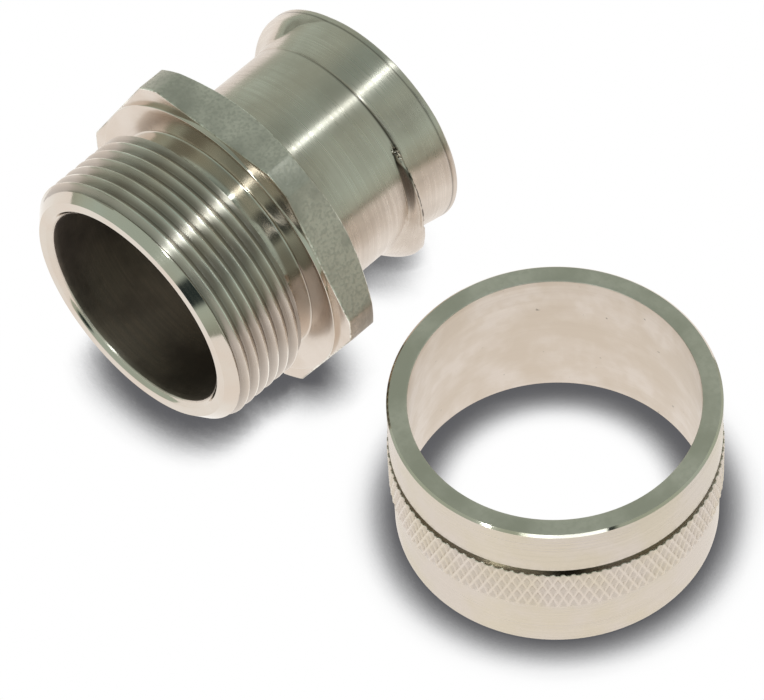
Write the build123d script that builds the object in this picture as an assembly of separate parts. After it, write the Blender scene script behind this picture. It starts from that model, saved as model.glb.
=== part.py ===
"""Two-part nickel-plated brass conduit gland, laid out with its two pieces apart.

Units are millimetres, +Z is up and the ground plane is Z = 0. The gland body lies on
one hexagon flat with its axis along +X (open thread end toward -X, spigot toward +X).
The clamp ring stands on its wide end beside it. The origin is the centre of the
layout's footprint on the ground.
"""

import os
from math import cos, pi, radians, tan

from build123d import *

# ---- layout on the ground -------------------------------------------------------
BODY_X = -6.35
BODY_Y = 20.9
RING_X = 1.55
RING_Y = -22.5

# ---- gland body: stations along its axis, 0 = washer face, minus = thread side ----
THREAD_END = -13.5
THREAD_STOP = -2.9
RELIEF_START = -2.2
HEX_FRONT = 0.55
HEX_BACK = 5.2
SPIGOT_STEP = 18.1
SPIGOT_END = 23.7

# ---- gland body: male thread M32 x 1.5 --------------------------------------------
THREAD_RADIUS = 16.0
THREAD_PITCH = 1.5
THREAD_DEPTH = 0.92
THREAD_CREST = 0.19
END_CHAMFER = 1.6
RELIEF_RADIUS = 14.4
ROOT_FILLET = 0.25

# ---- gland body: hexagon flange ---------------------------------------------------
ACROSS_FLATS = 36.0
CORNER_RADIUS = 19.9
WASHER_RADIUS = 17.9
HEX_CHAMFER_ANGLE = 30.0
JOIN_OVERLAP = 0.2

# ---- gland body: spigot -----------------------------------------------------------
NECK_RADIUS = 13.0
NECK_FILLET = 0.3
SPIGOT_STEP_RADIUS = 13.15
SPIGOT_END_RADIUS = 14.2
SPIGOT_EDGE = 0.2

# ---- gland body: bores ------------------------------------------------------------
THREAD_BORE = 12.7
MOUTH_CHAMFER = 0.6
SPIGOT_BORE = 11.5
BORE_SHOULDER = 2.0

# ---- gland body: one rounded helical rib round the spigot ---------------------------
# Angles are measured round the axis from straight up, turning toward -Y.
RIB_START_ANGLE = 48.0
RIB_FULL_START = 125.0
RIB_FULL_END = 305.0
RIB_END_ANGLE = 372.0
RIB_START_STATION = 17.6
RIB_END_STATION = 24.4
RIB_CREST_RADIUS = 15.45
RIB_HALF_WIDTH = 3.7
RIB_END_HALF_WIDTH = 1.6
RIB_FOOT_RADIUS = 12.75
RIB_INNER_RADIUS = 12.1
RIB_SECTIONS = 25

# ---- clamp ring -------------------------------------------------------------------
RING_HEIGHT = 20.0
RING_RADIUS = 18.1
RING_BORE = 15.85
RING_BORE_LAND = 4.0
RING_LOWER_BORE = 16.95
RING_EDGE = 0.25
GROOVE_TOP = 13.7
GROOVE_BOTTOM = 12.9
GROOVE_DEPTH = 0.45
KNURL_RADIUS = 18.3
KNURL_BOTTOM = 7.1
KNURL_EDGE = 0.3
LOWER_BAND_RADIUS = 17.85
LOWER_BAND_EDGE = 0.4


def turned(points):
    """Revolve a closed outline of (radius, station) points round the Z axis."""
    outline = make_face(Polyline(*[(radius, 0, station) for radius, station in points], close=True))
    return revolve(outline, axis=Axis.Z)


def turned_body():
    """The body's turned outside: thread blank, relief, washer face, neck and spigot."""
    return turned(
        [
            (0, THREAD_END),
            (THREAD_RADIUS - END_CHAMFER, THREAD_END),
            (THREAD_RADIUS, THREAD_END + END_CHAMFER),
            (THREAD_RADIUS, THREAD_STOP),
            (RELIEF_RADIUS, RELIEF_START),
            (RELIEF_RADIUS, -ROOT_FILLET),
            (RELIEF_RADIUS + ROOT_FILLET, 0),
            (WASHER_RADIUS, 0),
            (WASHER_RADIUS, HEX_FRONT + JOIN_OVERLAP),
            (NECK_RADIUS + NECK_FILLET, HEX_FRONT + JOIN_OVERLAP),
            (NECK_RADIUS + NECK_FILLET, HEX_BACK),
            (NECK_RADIUS, HEX_BACK + NECK_FILLET),
            (NECK_RADIUS, SPIGOT_STEP),
            (SPIGOT_STEP_RADIUS, SPIGOT_STEP),
            (SPIGOT_END_RADIUS, SPIGOT_END - SPIGOT_EDGE),
            (SPIGOT_END_RADIUS - SPIGOT_EDGE, SPIGOT_END),
            (0, SPIGOT_END),
        ]
    )


def hex_flange():
    """Hexagon with its corners turned down and a 30 degree chamfer on the back."""
    half_flats = ACROSS_FLATS / 2
    chamfer_length = (CORNER_RADIUS - half_flats) * tan(radians(HEX_CHAMFER_ANGLE))
    outline = RegularPolygon(half_flats, 6, major_radius=False, rotation=30)
    prism = extrude(Pos(0, 0, HEX_FRONT) * outline, HEX_BACK - HEX_FRONT)
    corner_blank = turned(
        [
            (0, HEX_FRONT),
            (CORNER_RADIUS, HEX_FRONT),
            (CORNER_RADIUS, HEX_BACK - chamfer_length),
            (half_flats, HEX_BACK),
            (0, HEX_BACK),
        ]
    )
    return prism & corner_blank


def thread_groove():
    """Helical V groove that runs in from the open end and out into the relief."""
    root = THREAD_RADIUS - THREAD_DEPTH
    outside = 0.3
    half_mouth = (THREAD_PITCH - THREAD_CREST) / 2
    half_outer = half_mouth * (THREAD_DEPTH + outside) / THREAD_DEPTH
    start = THREAD_END - THREAD_PITCH
    length = RELIEF_START - start
    helix = Pos(0, 0, start) * Helix(THREAD_PITCH, length, root)
    section = make_face(
        Polyline(
            (root, 0, start),
            (THREAD_RADIUS + outside, 0, start + half_outer),
            (THREAD_RADIUS + outside, 0, start - half_outer),
            close=True,
        )
    )
    return sweep(section, path=helix, is_frenet=True)


def rib_height(angle):
    """Share of the rib's full height at an angle: ramps in, holds, then fades out."""
    if angle < RIB_FULL_START:
        run = (angle - RIB_START_ANGLE) / (RIB_FULL_START - RIB_START_ANGLE)
    elif angle > RIB_FULL_END:
        run = (RIB_END_ANGLE - angle) / (RIB_END_ANGLE - RIB_FULL_END)
    else:
        run = 1.0
    return 0.5 - 0.5 * cos(pi * run)


def rib_section(angle):
    """Rounded cross-section of the rib, standing in the half-plane at an angle."""
    turn = (angle - RIB_START_ANGLE) / (RIB_END_ANGLE - RIB_START_ANGLE)
    middle = RIB_START_STATION + turn * (RIB_END_STATION - RIB_START_STATION)
    height = rib_height(angle)
    rise = 0.1 + height * (RIB_CREST_RADIUS - RIB_FOOT_RADIUS - 0.1)
    half_width = RIB_END_HALF_WIDTH + height * (RIB_HALF_WIDTH - RIB_END_HALF_WIDTH)
    crest_points = []
    for step in range(-4, 5):
        across = step / 4
        radius = RIB_FOOT_RADIUS + rise * cos(across * pi / 2) ** 2
        crest_points.append((radius, 0, middle + across * half_width))
    crest = Spline(*crest_points)
    base = Polyline(
        crest_points[-1],
        (RIB_INNER_RADIUS, 0, middle + half_width),
        (RIB_INNER_RADIUS, 0, middle - half_width),
        crest_points[0],
    )
    return Rot(0, 0, 180 + angle) * make_face([crest, base])


def helical_rib():
    """The rib as a loft through cross-sections set round the spigot."""
    turn = (RIB_END_ANGLE - RIB_START_ANGLE) / (RIB_SECTIONS - 1)
    sections = [rib_section(RIB_START_ANGLE + turn * index) for index in range(RIB_SECTIONS)]
    return loft(sections)


def body_bore():
    """Stepped through bore with a chamfered mouth at the thread end."""
    return turned(
        [
            (0, THREAD_END - 1),
            (THREAD_BORE + MOUTH_CHAMFER, THREAD_END - 1),
            (THREAD_BORE + MOUTH_CHAMFER, THREAD_END),
            (THREAD_BORE, THREAD_END + MOUTH_CHAMFER),
            (THREAD_BORE, BORE_SHOULDER),
            (SPIGOT_BORE, BORE_SHOULDER + THREAD_BORE - SPIGOT_BORE),
            (SPIGOT_BORE, SPIGOT_END + 6),
            (0, SPIGOT_END + 6),
        ]
    )


def gland_body():
    """The whole gland body, lying on one hexagon flat."""
    spigot_trim = Pos(0, 0, SPIGOT_END) * Cylinder(
        30, 10, align=(Align.CENTER, Align.CENTER, Align.MIN)
    )
    outside = turned_body() + hex_flange() + helical_rib()
    body = outside - spigot_trim - body_bore() - thread_groove()
    return Pos(BODY_X, BODY_Y, ACROSS_FLATS / 2) * Rot(0, 90, 0) * body


def clamp_ring():
    """The clamp ring: top band, groove, knurled band, lower band and a tapering bore."""
    ring = turned(
        [
            (RING_LOWER_BORE, 0),
            (LOWER_BAND_RADIUS - LOWER_BAND_EDGE, 0),
            (LOWER_BAND_RADIUS, LOWER_BAND_EDGE),
            (LOWER_BAND_RADIUS, KNURL_BOTTOM - KNURL_EDGE),
            (KNURL_RADIUS, KNURL_BOTTOM),
            (KNURL_RADIUS, GROOVE_BOTTOM - KNURL_EDGE),
            (KNURL_RADIUS - KNURL_EDGE, GROOVE_BOTTOM),
            (RING_RADIUS - GROOVE_DEPTH, GROOVE_BOTTOM),
            (RING_RADIUS - GROOVE_DEPTH, GROOVE_TOP),
            (RING_RADIUS, GROOVE_TOP),
            (RING_RADIUS, RING_HEIGHT - RING_EDGE),
            (RING_RADIUS - RING_EDGE, RING_HEIGHT),
            (RING_BORE, RING_HEIGHT),
            (RING_BORE, RING_HEIGHT - RING_BORE_LAND),
        ]
    )
    return Pos(RING_X, RING_Y, 0) * ring


def main():
    os.makedirs("parts", exist_ok=True)
    export_step(gland_body(), "parts/gland_body.step")
    export_step(clamp_ring(), "parts/clamp_ring.step")


main()
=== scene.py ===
"""Looks of a two-part nickel-plated conduit gland: threaded hexagon body and clamp ring.

The gland body lies on one hexagon flat with its axis along +X. The clamp ring stands
on its wide end beside it. Shapes are worked out in millimetres and placed in metres.
"""
from math import cos, radians, tan

import bmesh
import bpy
import numpy as np
from mathutils import Matrix, Vector


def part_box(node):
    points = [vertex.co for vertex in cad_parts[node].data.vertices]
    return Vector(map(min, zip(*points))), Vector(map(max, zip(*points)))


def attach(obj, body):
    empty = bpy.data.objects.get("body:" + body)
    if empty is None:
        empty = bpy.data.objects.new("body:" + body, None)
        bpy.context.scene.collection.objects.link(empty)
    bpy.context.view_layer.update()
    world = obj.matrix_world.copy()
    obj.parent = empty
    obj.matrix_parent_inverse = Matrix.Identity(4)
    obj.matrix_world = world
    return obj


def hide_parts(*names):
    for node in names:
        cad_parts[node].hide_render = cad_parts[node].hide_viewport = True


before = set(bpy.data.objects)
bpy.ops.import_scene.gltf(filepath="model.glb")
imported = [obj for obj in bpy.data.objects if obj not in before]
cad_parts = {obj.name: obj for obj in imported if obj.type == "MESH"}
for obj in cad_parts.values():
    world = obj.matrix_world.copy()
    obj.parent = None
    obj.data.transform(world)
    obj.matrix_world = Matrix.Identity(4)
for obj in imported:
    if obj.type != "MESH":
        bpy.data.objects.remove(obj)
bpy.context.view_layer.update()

MM = 0.001
MERGE_DISTANCE = 2e-6
SLIVER_LENGTH = 1e-6
SHARP_EDGE_ANGLE = 38.0

# ---- gland body: stations along its axis, 0 = washer face, minus = thread side ----
THREAD_END = -13.5
THREAD_STOP = -2.9
RELIEF_START = -2.2
HEX_FRONT = 0.55
HEX_BACK = 5.2
SPIGOT_STEP = 18.1
SPIGOT_END = 23.7

# ---- gland body: male thread ----
THREAD_RADIUS = 16.0
THREAD_PITCH = 1.5
THREAD_DEPTH = 0.7
THREAD_RUN_IN = 0.26
THREAD_LEAD_TURNS = 2
THREAD_ROWS_PER_TURN = 18
CREST_START = 0.93
CREST_LEVEL = 0.99
CREST_ROUNDING = 0.25
ROOT_END = 0.03
# Colour darkened toward the thread roots.
THREAD_ROOT_DARKENING = 0.42
END_FACE_RADIUS = 14.4
RELIEF_RADIUS = 14.4
ROOT_FILLET = 0.25

# ---- gland body: hexagon flange ----
HALF_FLATS = 18.0
CORNER_RADIUS = 19.9
WASHER_RADIUS = 17.9
HEX_CHAMFER_ANGLE = 30.0
HEX_EDGE = 0.16
HEX_BACK_EDGE = 0.06
HEX_BACK_EDGE_RUN = 0.05
HEX_BACK_RADIUS = HALF_FLATS - 0.12
WASHER_EDGE = 0.12
# Painted reflection: relief and washer face darkened brown from about 46 to 104 degrees round the
# axis, standing in for a dark reflection there.
WASHER_PAINTED_REFLECTION = 0.3
WASHER_REFLECTION_COMES = (46, 58)
WASHER_REFLECTION_GOES = (84, 104)

# ---- gland body: spigot ----
NECK_RADIUS = 13.0
NECK_FILLET = 0.3
STEP_RADIUS = 13.15
STEP_WIDTH = 0.06
STEP_SHOWS_FROM = -62
STEP_SHOWS_FULLY = 52
STEP_GONE = 64
# Angle past which the painted shadow line in the spigot's step has faded out.
STEP_SHADE_GONE = 58
STEP_GROOVE_DEPTH = 0.18
SPIGOT_END_RADIUS = 14.2
SPIGOT_EDGE = 0.22
RIM_LINE = 23.0
RIM_LINE_DEPTH = 0.05
# Where each spacing of the spigot's rows starts, and the spacing.
SPIGOT_ROWS = ((HEX_BACK + NECK_FILLET + 0.4, 0.6), (14.4, 0.2), (16.6, 0.06), (18.6, 0.1))

# ---- gland body: bores ----
THREAD_BORE = 12.7
MOUTH_CHAMFER = 0.6
MOUTH_EDGE_LENGTH = 0.1
MOUTH_EDGE = 0.17
LIP_EDGE = 0.05
SPIGOT_BORE = 11.5
SPIGOT_BORE_EDGE = 0.2
BORE_SHOULDER = 2.0

# ---- gland body: helical rib, by angle round the axis from straight up toward -Y ----
RIB_FOOT = (
    (48, 17.75), (52, 17.7), (55, 17.3), (61, 17.02), (74, 16.87), (86, 16.8), (96, 16.4),
    (110, 15.4), (128, 14.5), (150, 14.7), (200, 15.9), (260, 17.5), (300, 18.5),
    (308, 18.7), (318, 19.5), (325, 20.8), (331, 21.3), (346, 22.3), (353, 23.1), (372, 24.2),
)
RIB_FAR_EDGE = (
    (48, 17.85), (95, 17.95), (110, 19.4), (128, 21.9), (150, 22.5), (200, 23.9),
    (230, 25.0), (260, 26.0), (308, 27.0), (372, 27.5),
)
RIB_HEIGHT = (
    (48, 0.0), (55, 0.45), (65, 0.8), (75, 1.05), (86, 1.3), (96, 1.6), (110, 2.05),
    (128, 2.4), (280, 2.4), (308, 1.8), (325, 1.35), (346, 0.95), (360, 0.5), (372, 0.0),
)
# Painted dark reflection on the rib's first flank: its width along the axis and its depth, by angle.
SHADE_WIDTH = ((48, 0.12), (57, 0.2), (61, 0.45), (66, 0.75), (74, 0.62), (86, 0.4), (99, 0.2))
SHADE_DEPTH = ((48, 1.0), (58, 1.0), (63, 0.82), (74, 0.8), (84, 0.6), (92, 0.0), (99, 0.0))
BURR_ANGLE = 54.5
BURR_TURN = 2.8
BURR_STATION = 17.75
BURR_LENGTH = 0.3
BURR_HEIGHT = 0.4
RIB_FLANK = ((48, 0.6), (96, 0.6), (128, 0.5), (290, 0.5), (325, 0.34), (346, 0.3), (372, 0.3))
RIB_FAR_FLANK = (
    (48, 0.08), (88, 0.08), (98, 0.2), (112, 0.38), (128, 0.42), (200, 0.42), (372, 0.42),
)
SHARP_FOOT = (290, 325)
RAGGED_FADES = (92, 108)
EDGE_WAVES = ((0.08, 31, 0), (0.06, 67, 1), (0.04, 118, 0))
# Angles where the flank's painted dark reflection and the painted shade line along the rib's far edge
# come and go.
SHADE_COMES = (50, 54)
EDGE_SHADE_COMES = (56, 64)
EDGE_SHADE_GOES = (100, 112)

# ---- clamp ring ----
RING_HEIGHT = 20.0
RING_RADIUS = 18.1
RING_BORE = 15.85
RING_BORE_LAND = 4.0
RING_LOWER_BORE = 16.95
RING_EDGE = 0.25
RING_BORE_EDGE = 0.1
GROOVE_TOP = 13.7
GROOVE_BOTTOM = 12.9
GROOVE_DEPTH = 0.45
GROOVE_EDGE = 0.06
KNURL_RADIUS = 18.3
KNURL_BOTTOM = 7.1
KNURL_RISE = 0.3
LOWER_BAND_RADIUS = 17.85
LOWER_BAND_EDGE = 0.4
KNURL_TEETH = 103
KNURL_ANGLE = 24.0
KNURL_DEPTH = 0.17
KNURL_RIDGE_START = 0.42
KNURL_WOBBLES = ((0.03, 5), (0.02, 13))
KNURL_ROW_SPACING = 0.11
# Painted shade in the knurl's pits, so that the ridges read lighter than the hollows.
KNURL_PIT_SHADE = 0.2
# Painted shade in the ring's groove, strongest on the side facing the camera at 227 degrees.
GROOVE_SHADE = 0.28
GROOVE_FRONT_SHADE = 0.55
GROOVE_FRONT_SHADE_ANGLE = 227.0
GROOVE_FRONT_SHADE_WIDTH = 8.0

# ---- closeness of the meshes: columns round each axis ----
BODY_COLUMNS = 576
COLUMNS_PER_TOOTH = 12

# ---- camera ----
VIEW_AZIMUTH = -43.12
VIEW_ELEVATION = 53.04
VIEW_ROLL = 3.65
LENS = 250.8
SENSOR_WIDTH = 36.0
# Where the middle of the ring's top stands from the camera: right, up, back.
RING_TOP_IN_VIEW = Vector((18.507, -5.200, -570.61)) * MM

# ---- stage ----
FLOOR_RADIUS = 0.158
FLOOR_CENTRE = (0.0, 0.085, -0.00005)
SHADE_REACH = 0.0065
FLOOR_SHADES = (
    (0.48, (0.11, 0.11, 0.118)),
    (0.56, (0.135, 0.135, 0.14)),
    (0.62, (0.19, 0.19, 0.195)),
    (0.68, (0.29, 0.29, 0.295)),
    (0.75, (0.46, 0.46, 0.465)),
    (0.83, (0.74, 0.74, 0.745)),
    (0.90, (0.93, 0.93, 0.93)),
    (0.96, (1.0, 1.0, 1.0)),
)
FLOOR_IN_METAL = (1, 0.99, 0.97)
FLOOR_IN_METAL_STRENGTH = 1.05
# Room colours from below (0) to straight overhead (1).
ROOM_COLOURS = (
    (0.30, (0.22, 0.21, 0.18)),
    (0.40, (0.36, 0.40, 0.33)),
    (0.47, (0.47, 0.54, 0.46)),
    (0.60, (0.48, 0.58, 0.52)),
    (0.90, (0.40, 0.465, 0.40)),
    (0.97, (0.25, 0.32, 0.29)),
)
# Round patches of the room: direction, inner and outer half-angle in degrees, colour.
ROOM_PATCHES = (
    ((-0.42, 0.78, 0.47), 10, 18, (0.24, 0.27, 0.23)),
    ((-0.894, -0.40, 0.20), 7, 11, (0.02, 0.03, 0.03)),
    ((-0.41, -0.71, 0.57), 14, 17, (0.02, 0.03, 0.03)),
)
LIGHT_DISTANCE = 0.9
LIGHT_COLOUR = (0.88, 1.0, 1.0)


def curve_value(points, angle):
    """Value at each angle of a smooth line through (angle, value) pairs."""
    knots, values = np.array(points, dtype=float).T
    steps = np.diff(values) / np.diff(knots)
    same_way = steps[:-1] * steps[1:] > 0
    total = np.where(same_way, steps[:-1] + steps[1:], 1.0)
    middle = np.where(same_way, 2 * steps[:-1] * steps[1:] / total, 0.0)
    slopes = np.concatenate([steps[:1], middle, steps[-1:]])
    index = np.clip(np.searchsorted(knots, angle) - 1, 0, len(steps) - 1)
    width = knots[index + 1] - knots[index]
    share = np.clip((angle - knots[index]) / width, 0, 1)
    rise = share * share * (3 - 2 * share)
    leave = share * (1 - share) ** 2 * width * slopes[index]
    arrive = share * share * (share - 1) * width * slopes[index + 1]
    return values[index] * (1 - rise) + values[index + 1] * rise + leave + arrive


def smooth_step(low, high, value):
    """0 below low, 1 above high, and an even S between them."""
    share = np.clip((value - low) / (high - low), 0, 1)
    return share * share * (3 - 2 * share)


# ---------------------------------------------------------------- mesh making
class Skin:
    """Rows of points round an axis, joined into one closed skin."""

    def __init__(self, angles):
        self.angles = angles
        self.rows = []

    def add(self, station, radius, finish=0, painted_shade_and_grime=0.0):
        """One row; each value is a number or one number for each angle."""
        ones = np.ones_like(self.angles)
        self.rows.append((station * ones, radius * ones, finish * ones, painted_shade_and_grime * ones))

    def line(self, start, end, count, finish=0, painted_shade_and_grime=0.0):
        """Rows from start to end, both (station, radius); the first is left out."""
        for step in range(1, count + 1):
            share = step / count
            station = start[0] + (end[0] - start[0]) * share
            radius = start[1] + (end[1] - start[1]) * share
            self.add(station, radius, finish, painted_shade_and_grime)

    def arc(self, start, corner, end, count, finish=0, painted_shade_and_grime=0.0):
        """Rows along a rounded corner from start to end."""
        for step in range(1, count + 1):
            share = step / count
            keep, turn, reach = (1 - share) ** 2, 2 * share * (1 - share), share ** 2
            station = start[0] * keep + corner[0] * turn + end[0] * reach
            radius = start[1] * keep + corner[1] * turn + end[1] * reach
            self.add(station, radius, finish, painted_shade_and_grime)


def build_object(name, skin, place, centre, materials):
    """Mesh object from a skin. place turns (station, radius, angle) into local x, y, z."""
    columns = len(skin.angles)
    points = []
    for station, radius, _, _ in skin.rows:
        points.append(np.stack(place(station, radius, skin.angles), axis=1))
    vertices = np.concatenate(points) * MM
    faces = []
    finishes = []
    for row in range(len(skin.rows) - 1):
        base = row * columns
        for column in range(columns - 1):
            first = base + column
            faces.append((first, first + 1, first + 1 + columns, first + columns))
        finishes.append(skin.rows[row + 1][2][:-1])
    mesh = bpy.data.meshes.new(name)
    mesh.from_pydata(vertices.tolist(), [], faces)
    mesh.polygons.foreach_set("material_index", np.concatenate(finishes).astype(int))
    # Per-point darkening read by the materials: mostly painted shade and painted dark reflections, the
    # rest plain darkening.
    painted_shade_and_grime = mesh.attributes.new("painted_shade_and_grime", "FLOAT", "POINT")
    painted_shade_and_grime.data.foreach_set("value", np.concatenate([row[3] for row in skin.rows]))
    for material in materials:
        mesh.materials.append(material)

    work = bmesh.new()
    work.from_mesh(mesh)
    bmesh.ops.remove_doubles(work, verts=work.verts, dist=MERGE_DISTANCE)
    bmesh.ops.dissolve_degenerate(work, edges=work.edges, dist=SLIVER_LENGTH)
    bmesh.ops.recalc_face_normals(work, faces=work.faces)
    limit = radians(SHARP_EDGE_ANGLE)
    for face in work.faces:
        face.smooth = True
    for edge in work.edges:
        edge.smooth = len(edge.link_faces) == 2 and edge.calc_face_angle(0) < limit
    work.to_mesh(mesh)
    work.free()

    item = bpy.data.objects.new(name, mesh)
    item.location = centre
    bpy.context.scene.collection.objects.link(item)
    return item


def along_x(station, radius, angle):
    """Round the body's axis: +X, angle from straight up toward -Y."""
    turn = np.radians(angle)
    return station, -radius * np.sin(turn), radius * np.cos(turn)


def along_z(station, radius, angle):
    """Round the ring's axis: +Z, angle from +X toward +Y."""
    turn = np.radians(angle)
    return radius * np.cos(turn), radius * np.sin(turn), station


# ---------------------------------------------------------------- gland body
TURNED, SATIN, BORE, THREAD, POLISHED, WORN_EDGE, CREST, FACED = 0, 1, 2, 3, 4, 5, 6, 7


def thread_height(phase):
    """Share of the thread's depth left standing at a phase, 0 and 1 being mid-crest."""
    from_root = np.abs((phase % 1.0) - 0.5) * 2
    share = np.clip((from_root - ROOT_END) / (CREST_START - ROOT_END), 0, 1)
    return (1 - CREST_ROUNDING) * share + CREST_ROUNDING * share * share * (3 - 2 * share)


def add_thread(skin):
    """Helical rows that climb one pitch per turn, cut off by the end chamfer and relief."""
    angles = skin.angles
    turns = (RELIEF_START - THREAD_END) / THREAD_PITCH + THREAD_LEAD_TURNS + 1
    for row in range(int(turns * THREAD_ROWS_PER_TURN) + 1):
        phase = row / THREAD_ROWS_PER_TURN
        turn = phase - THREAD_LEAD_TURNS + THREAD_RUN_IN + angles / 360
        station = np.clip(THREAD_END + THREAD_PITCH * turn, THREAD_END, RELIEF_START)
        height = thread_height(np.full_like(angles, phase))
        radius = THREAD_RADIUS - THREAD_DEPTH * (1 - height)
        end_chamfer = END_FACE_RADIUS + (station - THREAD_END)
        slope = (THREAD_RADIUS - RELIEF_RADIUS) / (RELIEF_START - THREAD_STOP)
        relief_chamfer = THREAD_RADIUS - slope * (station - THREAD_STOP)
        radius = np.minimum(radius, np.minimum(end_chamfer, relief_chamfer))
        on_chamfer = (radius >= end_chamfer - 1e-6) | (station <= THREAD_END)
        # Colour darkened toward the thread roots.
        painted_shade_and_grime = np.where(on_chamfer, 0.0, THREAD_ROOT_DARKENING * np.sqrt(1 - height))
        finish = np.where(height > CREST_LEVEL, CREST, THREAD)
        skin.add(station, radius, np.where(on_chamfer, POLISHED, finish), painted_shade_and_grime)


def hexagon_radius(angles):
    """Radius of the hexagon's outline with its corners turned down."""
    from_flat = np.radians((angles + 30) % 60 - 30)
    return np.minimum(HALF_FLATS / np.cos(from_flat), CORNER_RADIUS)


def edge_waver(angles):
    """How far the rib's far edge strays along the axis: ragged where it starts, then even."""
    turn = np.radians(angles)
    ragged = 1 - smooth_step(*RAGGED_FADES, angles)
    return ragged * sum(size * np.sin(turn * count + shift) for size, count, shift in EDGE_WAVES)


def burr(station, angles):
    """Ups and downs of the small lump of torn metal where the rib starts."""
    spread = ((angles - BURR_ANGLE) / BURR_TURN) ** 2 + ((station - BURR_STATION) / BURR_LENGTH) ** 2
    lumps = np.sin(angles * 1.9 + station * 9) * np.cos(station * 13 - angles * 1.1)
    return np.exp(-spread) * lumps


def step_clearness(angles, gone_by):
    """How clearly the spigot's step shows: fully just before the rib, not at all beyond it."""
    comes = smooth_step(STEP_SHOWS_FROM, STEP_SHOWS_FULLY, angles)
    comes_again = smooth_step(STEP_SHOWS_FROM + 360, STEP_SHOWS_FULLY + 360, angles)
    return comes * (1 - smooth_step(STEP_SHOWS_FULLY, gone_by, angles)) + comes_again


def spigot_radius(station, angles):
    """Radius of the spigot: neck, step, flare and the helical rib."""
    step_share = step_clearness(angles, STEP_GONE)
    flare_share = smooth_step(SPIGOT_STEP, SPIGOT_STEP + STEP_WIDTH, station)
    beyond = max(0.0, station - SPIGOT_STEP)
    flare = (SPIGOT_END_RADIUS - STEP_RADIUS) / (SPIGOT_END - SPIGOT_STEP)
    base = NECK_RADIUS + (STEP_RADIUS - NECK_RADIUS) * flare_share * (0.25 + 0.75 * step_share)
    base = base + flare * beyond
    groove = np.exp(-((station - SPIGOT_STEP + 0.08) / (0.09 + 0.08 * step_share)) ** 2)
    base = base - STEP_GROOVE_DEPTH * groove * step_share
    rim_line = np.exp(-((station - RIM_LINE) / 0.1) ** 2)
    base = base - RIM_LINE_DEPTH * rim_line

    foot = curve_value(RIB_FOOT, angles)
    far_edge = curve_value(RIB_FAR_EDGE, angles)
    height = curve_value(RIB_HEIGHT, angles)
    flank = curve_value(RIB_FLANK, angles)
    far_flank = curve_value(RIB_FAR_FLANK, angles)
    waver = edge_waver(angles)
    across = (station - foot) / (far_edge - foot)
    climb = np.clip(across / flank, 0, 1)
    sharp_foot = smooth_step(*SHARP_FOOT, angles)
    near_side = smooth_step(0, 1, climb) * (1 - sharp_foot) + climb * (2 - climb) * sharp_foot
    far_side = 1 - smooth_step(0, 1, (across + waver * 0.5 - 1 + far_flank) / far_flank)
    inside = (angles >= RIB_FOOT[0][0]) & (angles <= RIB_FOOT[-1][0])
    rib = NECK_RADIUS + height * near_side * far_side * inside
    return np.maximum(base, rib) + BURR_HEIGHT * burr(station, angles)


def spigot_shade_and_grime(station, angles):
    """Painted shade: a shadow line in the step, a painted dark reflection on the rib's first flank and
    a shade line along its far edge; also a darker line on the rim groove and darker spots where the
    burr dips.
    """
    step_share = step_clearness(angles, STEP_SHADE_GONE)
    # Painted shadow line in the spigot's step.
    step = np.exp(-((station - SPIGOT_STEP + 0.09) / (0.07 + 0.08 * step_share)) ** 2) * step_share
    # Painted dark reflection on the rib's first flank.
    foot = curve_value(RIB_FOOT, angles)
    width = curve_value(SHADE_WIDTH, angles)
    flank = smooth_step(foot - 0.06, foot + 0.08, station)
    flank = flank * (1 - smooth_step(foot + width - 0.12, foot + width + 0.06, station))
    flank = flank * smooth_step(*SHADE_COMES, angles) * curve_value(SHADE_DEPTH, angles)
    # Painted shade line along the rib's far edge.
    far_edge = curve_value(RIB_FAR_EDGE, angles)
    edge = np.exp(-((station - far_edge + 0.15 - 0.4 * edge_waver(angles)) / 0.1) ** 2)
    edge = edge * smooth_step(*EDGE_SHADE_COMES, angles) * (1 - smooth_step(*EDGE_SHADE_GOES, angles))
    # Darker line along the rim groove, and darker spots where the burr dips.
    rim = 0.6 * np.exp(-((station - RIM_LINE) / 0.09) ** 2)
    torn = np.clip(-4 * burr(station, angles), 0, 1)
    return np.clip(step * 0.95 + flank + edge * 0.95 + torn + rim, 0, 1)


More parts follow.
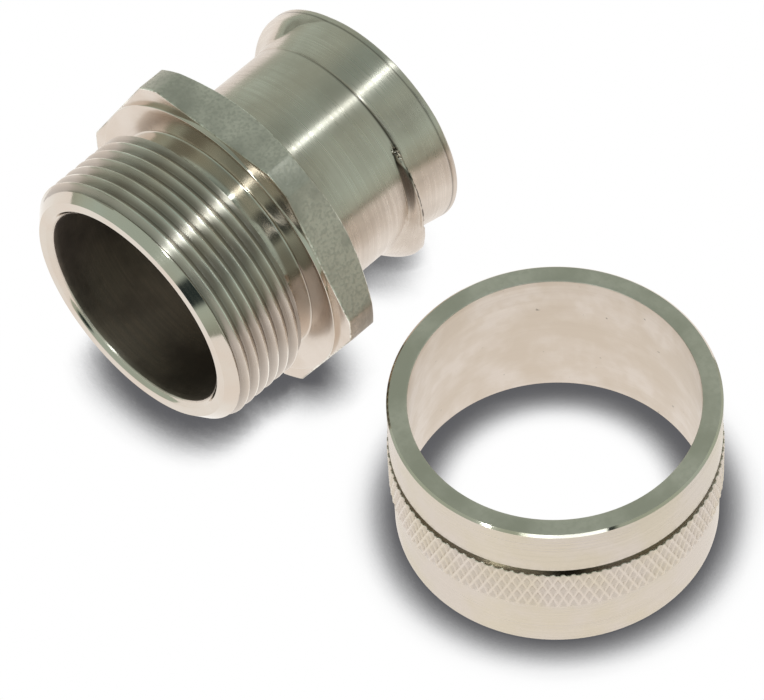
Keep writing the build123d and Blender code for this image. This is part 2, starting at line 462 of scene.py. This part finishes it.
def add_hexagon(skin):
    """Relief, washer face, hexagon with turned corners, and its chamfered back."""
    outline = hexagon_radius(skin.angles)
    # Painted reflection: relief and washer face darkened brown on one side.
    painted_reflection = WASHER_PAINTED_REFLECTION * smooth_step(*WASHER_REFLECTION_COMES, skin.angles)
    painted_reflection = painted_reflection * (1 - smooth_step(*WASHER_REFLECTION_GOES, skin.angles))
    skin.line((RELIEF_START, RELIEF_RADIUS), (-ROOT_FILLET, RELIEF_RADIUS), 5, POLISHED, painted_reflection)
    root = (0.0, RELIEF_RADIUS + ROOT_FILLET)
    skin.arc((-ROOT_FILLET, RELIEF_RADIUS), (0.0, RELIEF_RADIUS), root, 4, POLISHED, painted_reflection)
    rim = (0.0, WASHER_RADIUS - WASHER_EDGE)
    skin.line(root, rim, 5, FACED, painted_reflection)
    skin.arc(rim, (0.0, WASHER_RADIUS), (WASHER_EDGE, WASHER_RADIUS), 3, POLISHED)
    skin.line((WASHER_EDGE, WASHER_RADIUS), (HEX_FRONT, WASHER_RADIUS), 2, POLISHED)

    front_reach = np.maximum(outline - HEX_EDGE, WASHER_RADIUS)
    edge = np.minimum(HEX_EDGE, outline - WASHER_RADIUS)
    skin.line((HEX_FRONT, WASHER_RADIUS), (HEX_FRONT, front_reach), 3, FACED)
    skin.arc((HEX_FRONT, front_reach), (HEX_FRONT, outline), (HEX_FRONT + edge, outline), 3, WORN_EDGE)
    chamfer_start = HEX_BACK - (outline - HALF_FLATS) * tan(radians(HEX_CHAMFER_ANGLE))
    near = (chamfer_start - HEX_BACK_EDGE, outline)
    far = (chamfer_start + HEX_BACK_EDGE_RUN, outline - HEX_BACK_EDGE)
    skin.line((HEX_FRONT + edge, outline), near, 12, SATIN)
    skin.arc(near, (chamfer_start, outline), far, 2, WORN_EDGE)
    back_rim = (HEX_BACK, HEX_BACK_RADIUS)
    neck_start = (HEX_BACK, NECK_RADIUS + NECK_FILLET)
    skin.line(far, back_rim, 4, SATIN)
    skin.line(back_rim, neck_start, 5, TURNED)
    skin.arc(neck_start, (HEX_BACK, NECK_RADIUS), (HEX_BACK + NECK_FILLET, NECK_RADIUS), 4, TURNED)


def add_spigot(skin):
    """Neck and spigot end, with close rows where the rib starts."""
    last = SPIGOT_END - SPIGOT_EDGE
    ends = [start for start, _ in SPIGOT_ROWS[1:]] + [last]
    for (start, spacing), end in zip(SPIGOT_ROWS, ends):
        for station in np.arange(start, end, spacing):
            painted_shade_and_grime = spigot_shade_and_grime(station, skin.angles)
            skin.add(station, spigot_radius(station, skin.angles), TURNED, painted_shade_and_grime)
    radius = spigot_radius(last, skin.angles)
    skin.add(last, radius, TURNED)
    end_radius = radius - SPIGOT_EDGE
    skin.arc((last, radius), (SPIGOT_END, radius), (SPIGOT_END, end_radius), 4, TURNED)
    skin.line((SPIGOT_END, end_radius), (SPIGOT_END, SPIGOT_BORE + SPIGOT_BORE_EDGE), 4, TURNED)


def add_bore(skin):
    """Stepped bore from the spigot end back to the chamfered mouth and end face."""
    far_rim = (SPIGOT_END, SPIGOT_BORE + SPIGOT_BORE_EDGE)
    far_bore = (SPIGOT_END - SPIGOT_BORE_EDGE, SPIGOT_BORE)
    shoulder = (BORE_SHOULDER + THREAD_BORE - SPIGOT_BORE, SPIGOT_BORE)
    skin.line(far_rim, far_bore, 1, BORE)
    skin.line(far_bore, shoulder, 20, BORE)
    skin.line(shoulder, (BORE_SHOULDER, THREAD_BORE), 2, BORE)

    mouth = THREAD_END + MOUTH_CHAMFER
    chamfer_start = (mouth - MOUTH_EDGE, THREAD_BORE + MOUTH_EDGE)
    skin.line((BORE_SHOULDER, THREAD_BORE), (mouth, THREAD_BORE), 20, BORE)
    skin.arc((mouth, THREAD_BORE), (mouth - MOUTH_EDGE_LENGTH, THREAD_BORE), chamfer_start, 2, TURNED)

    lip = THREAD_BORE + MOUTH_CHAMFER
    lip_start = (THREAD_END + LIP_EDGE, lip - LIP_EDGE)
    lip_end = (THREAD_END, lip + LIP_EDGE)
    skin.line(chamfer_start, lip_start, 2, POLISHED)
    skin.arc(lip_start, (THREAD_END, lip), lip_end, 2, POLISHED)
    skin.line(lip_end, (THREAD_END, END_FACE_RADIUS), 3, POLISHED)


def make_body(materials):
    """The whole gland body as one closed skin."""
    low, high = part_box("gland_body")
    washer_x = low[0] - THREAD_END * MM
    centre = Vector((washer_x, (low[1] + high[1]) / 2, (low[2] + high[2]) / 2))
    skin = Skin(np.linspace(0, 360, BODY_COLUMNS + 1))
    add_thread(skin)
    add_hexagon(skin)
    add_spigot(skin)
    add_bore(skin)
    return build_object("gland_body_skin", skin, along_x, centre, materials)


# ---------------------------------------------------------------- clamp ring
OUTER, TOP, INNER, KNURL, CHAMFER = 0, 1, 2, 3, 4


def knurl_radius(station, angles):
    """Radius of the knurl: thin raised ridges in two crossing helical families."""
    around = KNURL_TEETH * angles / 360
    pitch = 2 * np.pi * KNURL_RADIUS / KNURL_TEETH
    climb = station * tan(radians(KNURL_ANGLE)) / pitch
    wobble = sum(size * np.sin(np.radians(angles) * count) for size, count in KNURL_WOBBLES)
    ridges = 0
    for phase in (around + climb + wobble, around - climb):
        distance = np.abs((phase % 1.0) - 0.5) * 2
        ridges = np.maximum(ridges, smooth_step(KNURL_RIDGE_START, 1.0, distance))
    return KNURL_RADIUS - KNURL_DEPTH * (1 - ridges)


def make_ring(materials):
    """The clamp ring as one closed skin, from its lower inner edge outward and up."""
    low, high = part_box("clamp_ring")
    centre = Vector(((low[0] + high[0]) / 2, (low[1] + high[1]) / 2, low[2]))
    skin = Skin(np.linspace(0, 360, KNURL_TEETH * COLUMNS_PER_TOOTH + 1))
    lower_outer = LOWER_BAND_RADIUS - LOWER_BAND_EDGE
    skin.add(0.0, RING_LOWER_BORE, OUTER)
    skin.line((0.0, RING_LOWER_BORE), (0.0, lower_outer), 2, OUTER)
    band = (LOWER_BAND_EDGE, LOWER_BAND_RADIUS)
    skin.arc((0.0, lower_outer), (0.0, LOWER_BAND_RADIUS), band, 4, OUTER)
    skin.line(band, (KNURL_BOTTOM - KNURL_RISE, LOWER_BAND_RADIUS), 8, OUTER)
    for station in np.arange(KNURL_BOTTOM - 0.2, GROOVE_BOTTOM - 0.05, KNURL_ROW_SPACING):
        rise = smooth_step(KNURL_BOTTOM - KNURL_RISE, KNURL_BOTTOM + KNURL_RISE / 2, station)
        tooth = knurl_radius(station, skin.angles)
        radius = LOWER_BAND_RADIUS + rise * (tooth - LOWER_BAND_RADIUS)
        # Painted shade in the knurl's pits.
        painted_shade_and_grime = KNURL_PIT_SHADE * rise * (KNURL_RADIUS - tooth) / KNURL_DEPTH
        skin.add(station, radius, KNURL, painted_shade_and_grime)
    # Painted shade in the groove: darker rows at its edges and in it, strongest on the front side.
    darker_patch = np.exp(-((skin.angles - GROOVE_FRONT_SHADE_ANGLE) / GROOVE_FRONT_SHADE_WIDTH) ** 2)
    groove_shade_share = GROOVE_SHADE + GROOVE_FRONT_SHADE * darker_patch
    groove = RING_RADIUS - GROOVE_DEPTH
    skin.add(GROOVE_BOTTOM, radius - GROOVE_EDGE, KNURL, 0.2)
    skin.add(GROOVE_BOTTOM, radius - GROOVE_EDGE * 2, KNURL, groove_shade_share)
    skin.add(GROOVE_BOTTOM, groove, OUTER, groove_shade_share)
    skin.line((GROOVE_BOTTOM, groove), (GROOVE_TOP, groove), 3, OUTER, groove_shade_share)
    lip_start = (GROOVE_TOP, RING_RADIUS - GROOVE_EDGE)
    lip_end = (GROOVE_TOP + GROOVE_EDGE, RING_RADIUS)
    skin.line((GROOVE_TOP, groove), lip_start, 1, OUTER, 0.3)
    skin.arc(lip_start, (GROOVE_TOP, RING_RADIUS), lip_end, 2, OUTER)

    shoulder = (RING_HEIGHT - RING_EDGE, RING_RADIUS)
    top_outer = (RING_HEIGHT, RING_RADIUS - RING_EDGE)
    top_inner = (RING_HEIGHT, RING_BORE + RING_BORE_EDGE)
    bore_top = (RING_HEIGHT - RING_BORE_EDGE, RING_BORE)
    land = (RING_HEIGHT - RING_BORE_LAND, RING_BORE)
    skin.line(lip_end, shoulder, 8, OUTER)
    skin.line(shoulder, top_outer, 2, CHAMFER)
    skin.line(top_outer, top_inner, 4, TOP)
    skin.arc(top_inner, (RING_HEIGHT, RING_BORE), bore_top, 3, TOP)
    skin.line(bore_top, land, 4, INNER)
    skin.line(land, (0.0, RING_LOWER_BORE), 16, INNER)
    return build_object("clamp_ring_skin", skin, along_z, centre, materials)


# ---------------------------------------------------------------- materials
class Nodes:
    """Small helper that adds and links shader nodes."""

    def __init__(self, tree):
        self.tree = tree
        tree.nodes.clear()

    def new(self, kind, **settings):
        """One node of a kind, with its settings."""
        node = self.tree.nodes.new(kind)
        for key, value in settings.items():
            setattr(node, key, value)
        return node

    def link(self, output, entry):
        """Join an output to an input."""
        self.tree.links.new(output, entry)

    def math(self, operation, first, second=0.0):
        """Result of a sum on two numbers or outputs."""
        node = self.new("ShaderNodeMath", operation=operation)
        for index, value in enumerate((first, second)):
            if isinstance(value, (int, float)):
                node.inputs[index].default_value = value
            else:
                self.link(value, node.inputs[index])
        return node.outputs[0]

    def band(self, value, low, high, amount, start=0.0):
        """From start, where value is under low, to amount, where it is over high."""
        node = self.new("ShaderNodeMapRange")
        node.inputs["From Min"].default_value = low
        node.inputs["From Max"].default_value = high
        node.inputs["To Min"].default_value = start
        node.inputs["To Max"].default_value = amount
        self.link(value, node.inputs["Value"])
        return node.outputs[0]

    def noise(self, place, scale, detail, roughness=0.5):
        """Noise from 0 to 1, read at place."""
        node = self.new("ShaderNodeTexNoise")
        node.inputs["Scale"].default_value = scale
        node.inputs["Detail"].default_value = detail
        node.inputs["Roughness"].default_value = roughness
        self.link(place, node.inputs["Vector"])
        return node.outputs["Fac"]

    def ramp(self, value, stops):
        """Colour ramp; stops are (position, colour)."""
        node = self.new("ShaderNodeValToRGB")
        elements = node.color_ramp.elements
        while len(elements) < len(stops):
            elements.new(0.5)
        for element, (position, colour) in zip(elements, stops):
            element.position = position
            element.color = (*colour, 1.0)
        self.link(value, node.inputs[0])
        return node.outputs[0]

    def blend(self, share, first, second):
        """Colour that goes from first to second as share goes from 0 to 1."""
        node = self.new("ShaderNodeMix", data_type="RGBA")
        self.link(share, node.inputs[0])
        for entry, colour in ((node.inputs[6], first), (node.inputs[7], second)):
            if isinstance(colour, tuple):
                entry.default_value = (*colour, 1.0)
            else:
                self.link(colour, entry)
        return node.outputs[2]

    def camera_or_metal(self, seen, mirrored):
        """Shader that shows seen to the camera and mirrored to the metal."""
        path = self.new("ShaderNodeLightPath")
        mix = self.new("ShaderNodeMixShader")
        self.link(path.outputs["Is Camera Ray"], mix.inputs[0])
        self.link(mirrored, mix.inputs[1])
        self.link(seen, mix.inputs[2])
        return mix.outputs[0]


# Colour for dark specks of dirt, and for the painted shade carried by the per-point darkening.
DIRT_AND_SHADE = (0.035, 0.026, 0.02)
STAIN_SCALE = 160.0
PIT_SCALE = 1100.0
BUMP_DISTANCE = 0.00003


def axis_coordinates(nodes, axis):
    """Object coordinates split into along the axis, radius from it, and angle round it."""
    coordinates = nodes.new("ShaderNodeTexCoord").outputs["Object"]
    split = nodes.new("ShaderNodeSeparateXYZ")
    nodes.link(coordinates, split.inputs[0])
    parts = split.outputs
    if axis == "X":
        along, across, up = parts[0], parts[1], parts[2]
    else:
        along, across, up = parts[2], parts[0], parts[1]
    squares = nodes.math("ADD", nodes.math("POWER", across, 2.0), nodes.math("POWER", up, 2.0))
    radius = nodes.math("SQRT", squares)
    angle = nodes.math("ARCTAN2", across, up)
    return coordinates, along, radius, angle


def turning_marks(nodes, along, radius, angle, fineness):
    """Noise drawn out round the axis, as a lathe tool leaves it."""
    scaled = nodes.new("ShaderNodeCombineXYZ")
    nodes.link(nodes.math("MULTIPLY", along, fineness), scaled.inputs[0])
    nodes.link(nodes.math("MULTIPLY", radius, fineness), scaled.inputs[1])
    nodes.link(nodes.math("MULTIPLY", angle, 0.6), scaled.inputs[2])
    return nodes.noise(scaled.outputs[0], 1.0, 3.0, roughness=0.6)


def nickel(name, axis, base, dark, rough=(0.22, 0.34), anisotropic=0.95, marks=5200.0,
           bump=0.04, banding=0.05, mottle=0.0, mottle_scale=900.0, patchy=0.0, specks=0.0):
    """Nickel-plated metal with turning marks round its axis, slight staining, and painted shade from
    the per-point darkening.
    """
    material = bpy.data.materials.new(name)
    material.use_nodes = True
    nodes = Nodes(material.node_tree)
    coordinates, along, radius, angle = axis_coordinates(nodes, axis)
    lines = turning_marks(nodes, along, radius, angle, marks)

    darker_patch = nodes.noise(coordinates, STAIN_SCALE, 5.0)
    grain = nodes.noise(coordinates, mottle_scale, 4.0)
    pits = nodes.noise(coordinates, PIT_SCALE, 1.0)
    shade_and_grime_attribute = nodes.new("ShaderNodeAttribute", attribute_name="painted_shade_and_grime")

    colour = nodes.ramp(darker_patch, [(0.38, dark), (0.58, base)])
    colour = nodes.blend(nodes.band(lines, 0.35, 0.65, banding), colour, dark)
    colour = nodes.blend(nodes.band(grain, 0.45, 0.62, patchy), colour, dark)
    colour = nodes.blend(nodes.band(pits, 0.77, 0.82, specks), colour, DIRT_AND_SHADE)
    # Painted shade and painted dark reflections, from the per-point darkening.
    colour = nodes.blend(shade_and_grime_attribute.outputs["Fac"], colour, DIRT_AND_SHADE)

    roughness = nodes.band(lines, 0.3, 0.7, rough[1], start=rough[0])
    relief = nodes.math("MULTIPLY", grain, mottle)
    relief = nodes.math("ADD", relief, nodes.math("MULTIPLY", lines, bump))
    raised = nodes.new("ShaderNodeBump")
    raised.inputs["Strength"].default_value = 1.0
    raised.inputs["Distance"].default_value = BUMP_DISTANCE
    nodes.link(relief, raised.inputs["Height"])

    direction = nodes.new("ShaderNodeVectorMath", operation="CROSS_PRODUCT")
    direction.inputs[0].default_value = (1, 0, 0) if axis == "X" else (0, 0, 1)
    nodes.link(coordinates, direction.inputs[1])

    shader = nodes.new("ShaderNodeBsdfPrincipled")
    shader.inputs["Metallic"].default_value = 1.0
    shader.inputs["Anisotropic"].default_value = anisotropic
    shader.inputs["Anisotropic Rotation"].default_value = 0.25
    nodes.link(colour, shader.inputs["Base Color"])
    nodes.link(roughness, shader.inputs["Roughness"])
    nodes.link(raised.outputs[0], shader.inputs["Normal"])
    nodes.link(direction.outputs[0], shader.inputs["Tangent"])
    output = nodes.new("ShaderNodeOutputMaterial")
    nodes.link(shader.outputs[0], output.inputs[0])
    return material


# ---------------------------------------------------------------- stage
def make_floor():
    """Plain pale floor, bright all over, with a soft painted shadow close to the object."""
    mesh = bpy.data.meshes.new("floor")
    work = bmesh.new()
    bmesh.ops.create_circle(work, cap_ends=True, segments=96, radius=FLOOR_RADIUS)
    work.to_mesh(mesh)
    work.free()
    floor = bpy.data.objects.new("floor", mesh)
    floor.location = FLOOR_CENTRE
    bpy.context.scene.collection.objects.link(floor)

    material = bpy.data.materials.new("pale_floor")
    material.use_nodes = True
    nodes = Nodes(material.node_tree)
    close = nodes.new("ShaderNodeAmbientOcclusion", samples=16)
    close.inputs["Distance"].default_value = SHADE_REACH
    seen = nodes.new("ShaderNodeEmission")
    nodes.link(nodes.ramp(close.outputs["AO"], FLOOR_SHADES), seen.inputs["Color"])
    mirrored = nodes.new("ShaderNodeEmission")
    mirrored.inputs["Color"].default_value = (*FLOOR_IN_METAL, 1)
    mirrored.inputs["Strength"].default_value = FLOOR_IN_METAL_STRENGTH
    output = nodes.new("ShaderNodeOutputMaterial")
    nodes.link(nodes.camera_or_metal(seen.outputs[0], mirrored.outputs[0]), output.inputs[0])
    mesh.materials.append(material)
    return floor


def make_world():
    """Soft grey-green studio room in the metal, white behind the floor."""
    world = bpy.data.worlds.new("studio")
    bpy.context.scene.world = world
    world.use_nodes = True
    nodes = Nodes(world.node_tree)
    outward = nodes.new("ShaderNodeTexCoord").outputs["Generated"]
    split = nodes.new("ShaderNodeSeparateXYZ")
    nodes.link(outward, split.inputs[0])
    height = nodes.math("MULTIPLY_ADD", split.outputs[2], 0.5)
    height.node.inputs[2].default_value = 0.5
    room = nodes.ramp(height, ROOM_COLOURS)
    for direction, inner, outer, colour in ROOM_PATCHES:
        towards = nodes.new("ShaderNodeVectorMath", operation="DOT_PRODUCT")
        nodes.link(outward, towards.inputs[0])
        towards.inputs[1].default_value = Vector(direction).normalized()
        low, high = cos(radians(outer)), cos(radians(inner))
        share = nodes.band(towards.outputs["Value"], low, high, 1.0)
        room = nodes.blend(share, room, colour)
    lit = nodes.new("ShaderNodeBackground")
    nodes.link(room, lit.inputs["Color"])
    white = nodes.new("ShaderNodeBackground")
    white.inputs["Color"].default_value = (1, 1, 1, 1)
    output = nodes.new("ShaderNodeOutputWorld")
    nodes.link(nodes.camera_or_metal(white.outputs[0], lit.outputs[0]), output.inputs[0])


def add_area(name, direction, lengthwise, size, power):
    """Soft box light that faces the middle of the object, its long side lengthwise."""
    light = bpy.data.lights.new(name, "AREA")
    light.shape = "RECTANGLE"
    light.size = size[0]
    light.size_y = size[1]
    light.energy = power
    light.color = LIGHT_COLOUR
    item = bpy.data.objects.new(name, light)
    item.location = Vector(direction).normalized() * LIGHT_DISTANCE
    facing = item.location.normalized()
    across = facing.cross(Vector(lengthwise)).normalized()
    item.rotation_euler = Matrix((across.cross(facing), across, facing)).transposed().to_euler()
    bpy.context.scene.collection.objects.link(item)


def make_camera():
    """Camera placed so that the ring's top stands where the view needs it."""
    low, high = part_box("clamp_ring")
    ring_top = Vector(((low[0] + high[0]) / 2, (low[1] + high[1]) / 2, high[2]))
    turn = Matrix.Rotation(radians(VIEW_AZIMUTH), 3, "Z")
    tilt = Matrix.Rotation(radians(90 - VIEW_ELEVATION), 3, "X")
    roll = Matrix.Rotation(radians(-VIEW_ROLL), 3, "Z")
    rotation = turn @ tilt @ roll
    data = bpy.data.cameras.new("camera")
    data.lens = LENS
    data.sensor_width = SENSOR_WIDTH
    data.clip_start = 0.01
    data.clip_end = 10.0
    camera = bpy.data.objects.new("camera", data)
    camera.rotation_euler = rotation.to_euler()
    camera.location = ring_top - rotation @ RING_TOP_IN_VIEW
    bpy.context.scene.collection.objects.link(camera)
    bpy.context.scene.camera = camera


# ---------------------------------------------------------------- finishes
BRIGHT = (0.70, 0.62, 0.55)
STAINED = (0.66, 0.57, 0.49)
RING_STAINED = (0.68, 0.60, 0.49)


def body_finishes():
    """The body's materials, in the order TURNED to FACED."""
    return [
        nickel("body_turned_nickel", "X", (0.73, 0.65, 0.575), (0.61, 0.53, 0.46),
               rough=(0.24, 0.35), anisotropic=0.93, bump=0.055, banding=0.4),
        nickel("body_satin_nickel", "X", (0.71, 0.64, 0.575), (0.46, 0.42, 0.375),
               rough=(0.38, 0.5), anisotropic=0.0, bump=0.0, mottle=2.2, mottle_scale=2600.0,
               patchy=0.55),
        # Bore colour kept darker than the outer nickel: painted shade inside the bore.
        nickel("body_bore", "X", (0.36, 0.30, 0.245), (0.20, 0.165, 0.14),
               rough=(0.42, 0.52), anisotropic=0.3, marks=2600.0, bump=0.02, banding=0.6),
        nickel("body_thread_nickel", "X", BRIGHT, STAINED, rough=(0.26, 0.34)),
        nickel("body_polished_nickel", "X", (0.67, 0.61, 0.54), STAINED,
               rough=(0.08, 0.13), anisotropic=0.5, bump=0.02),
        nickel("body_worn_edge", "X", (0.92, 0.88, 0.80), (0.45, 0.40, 0.34),
               rough=(0.25, 0.35), anisotropic=0.0, mottle=1.2, mottle_scale=2200.0, patchy=0.9),
        nickel("body_thread_crest", "X", (0.95, 0.90, 0.82), STAINED, rough=(0.2, 0.28), bump=0.02),
        nickel("body_faced_nickel", "X", BRIGHT, STAINED,
               rough=(0.2, 0.26), anisotropic=0.3, bump=0.03),
    ]


def ring_finishes():
    """The ring's materials, in the order OUTER to CHAMFER."""
    return [
        nickel("ring_turned_nickel", "Z", BRIGHT, RING_STAINED,
               rough=(0.22, 0.28), bump=0.008, banding=0.02),
        nickel("ring_top_nickel", "Z", (0.71, 0.64, 0.57), (0.56, 0.51, 0.44), rough=(0.3, 0.4),
               anisotropic=0.3, bump=0.04, mottle=0.6, mottle_scale=1300.0, patchy=0.4),
        nickel("ring_bore_nickel", "Z", BRIGHT, (0.62, 0.53, 0.44), rough=(0.3, 0.42),
               anisotropic=0.3, mottle=0.35, mottle_scale=500.0, patchy=0.5, specks=0.6),
        nickel("ring_knurl_nickel", "Z", BRIGHT, RING_STAINED, rough=(0.25, 0.35),
               anisotropic=0.0, mottle=0.3, mottle_scale=1500.0),
        nickel("ring_chamfer_nickel", "Z", BRIGHT, RING_STAINED,
               rough=(0.07, 0.1), anisotropic=0.0, bump=0.01),
    ]


# ---------------------------------------------------------------- put together
make_camera()
make_world()
add_area("overhead_strip", (0.0, -0.155, 1.0), (1, 0, 0), (1.8, 0.06), 1.3)
add_area("end_strip", (-0.78, -0.08, 0.62), (-0.38, 0.19, -0.53), (0.22, 0.06), 0.75)
add_area("front_card", (-0.541, -0.612, 0.576), (0.75, -0.66, 0), (0.68, 0.035), 0.17)

body_skin = make_body(body_finishes())
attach(body_skin, "body")
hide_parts("gland_body")

ring_skin = make_ring(ring_finishes())
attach(ring_skin, "ring")
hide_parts("clamp_ring")

make_floor()

view = bpy.context.scene.view_settings
view.view_transform = "Standard"
view.look = "None"
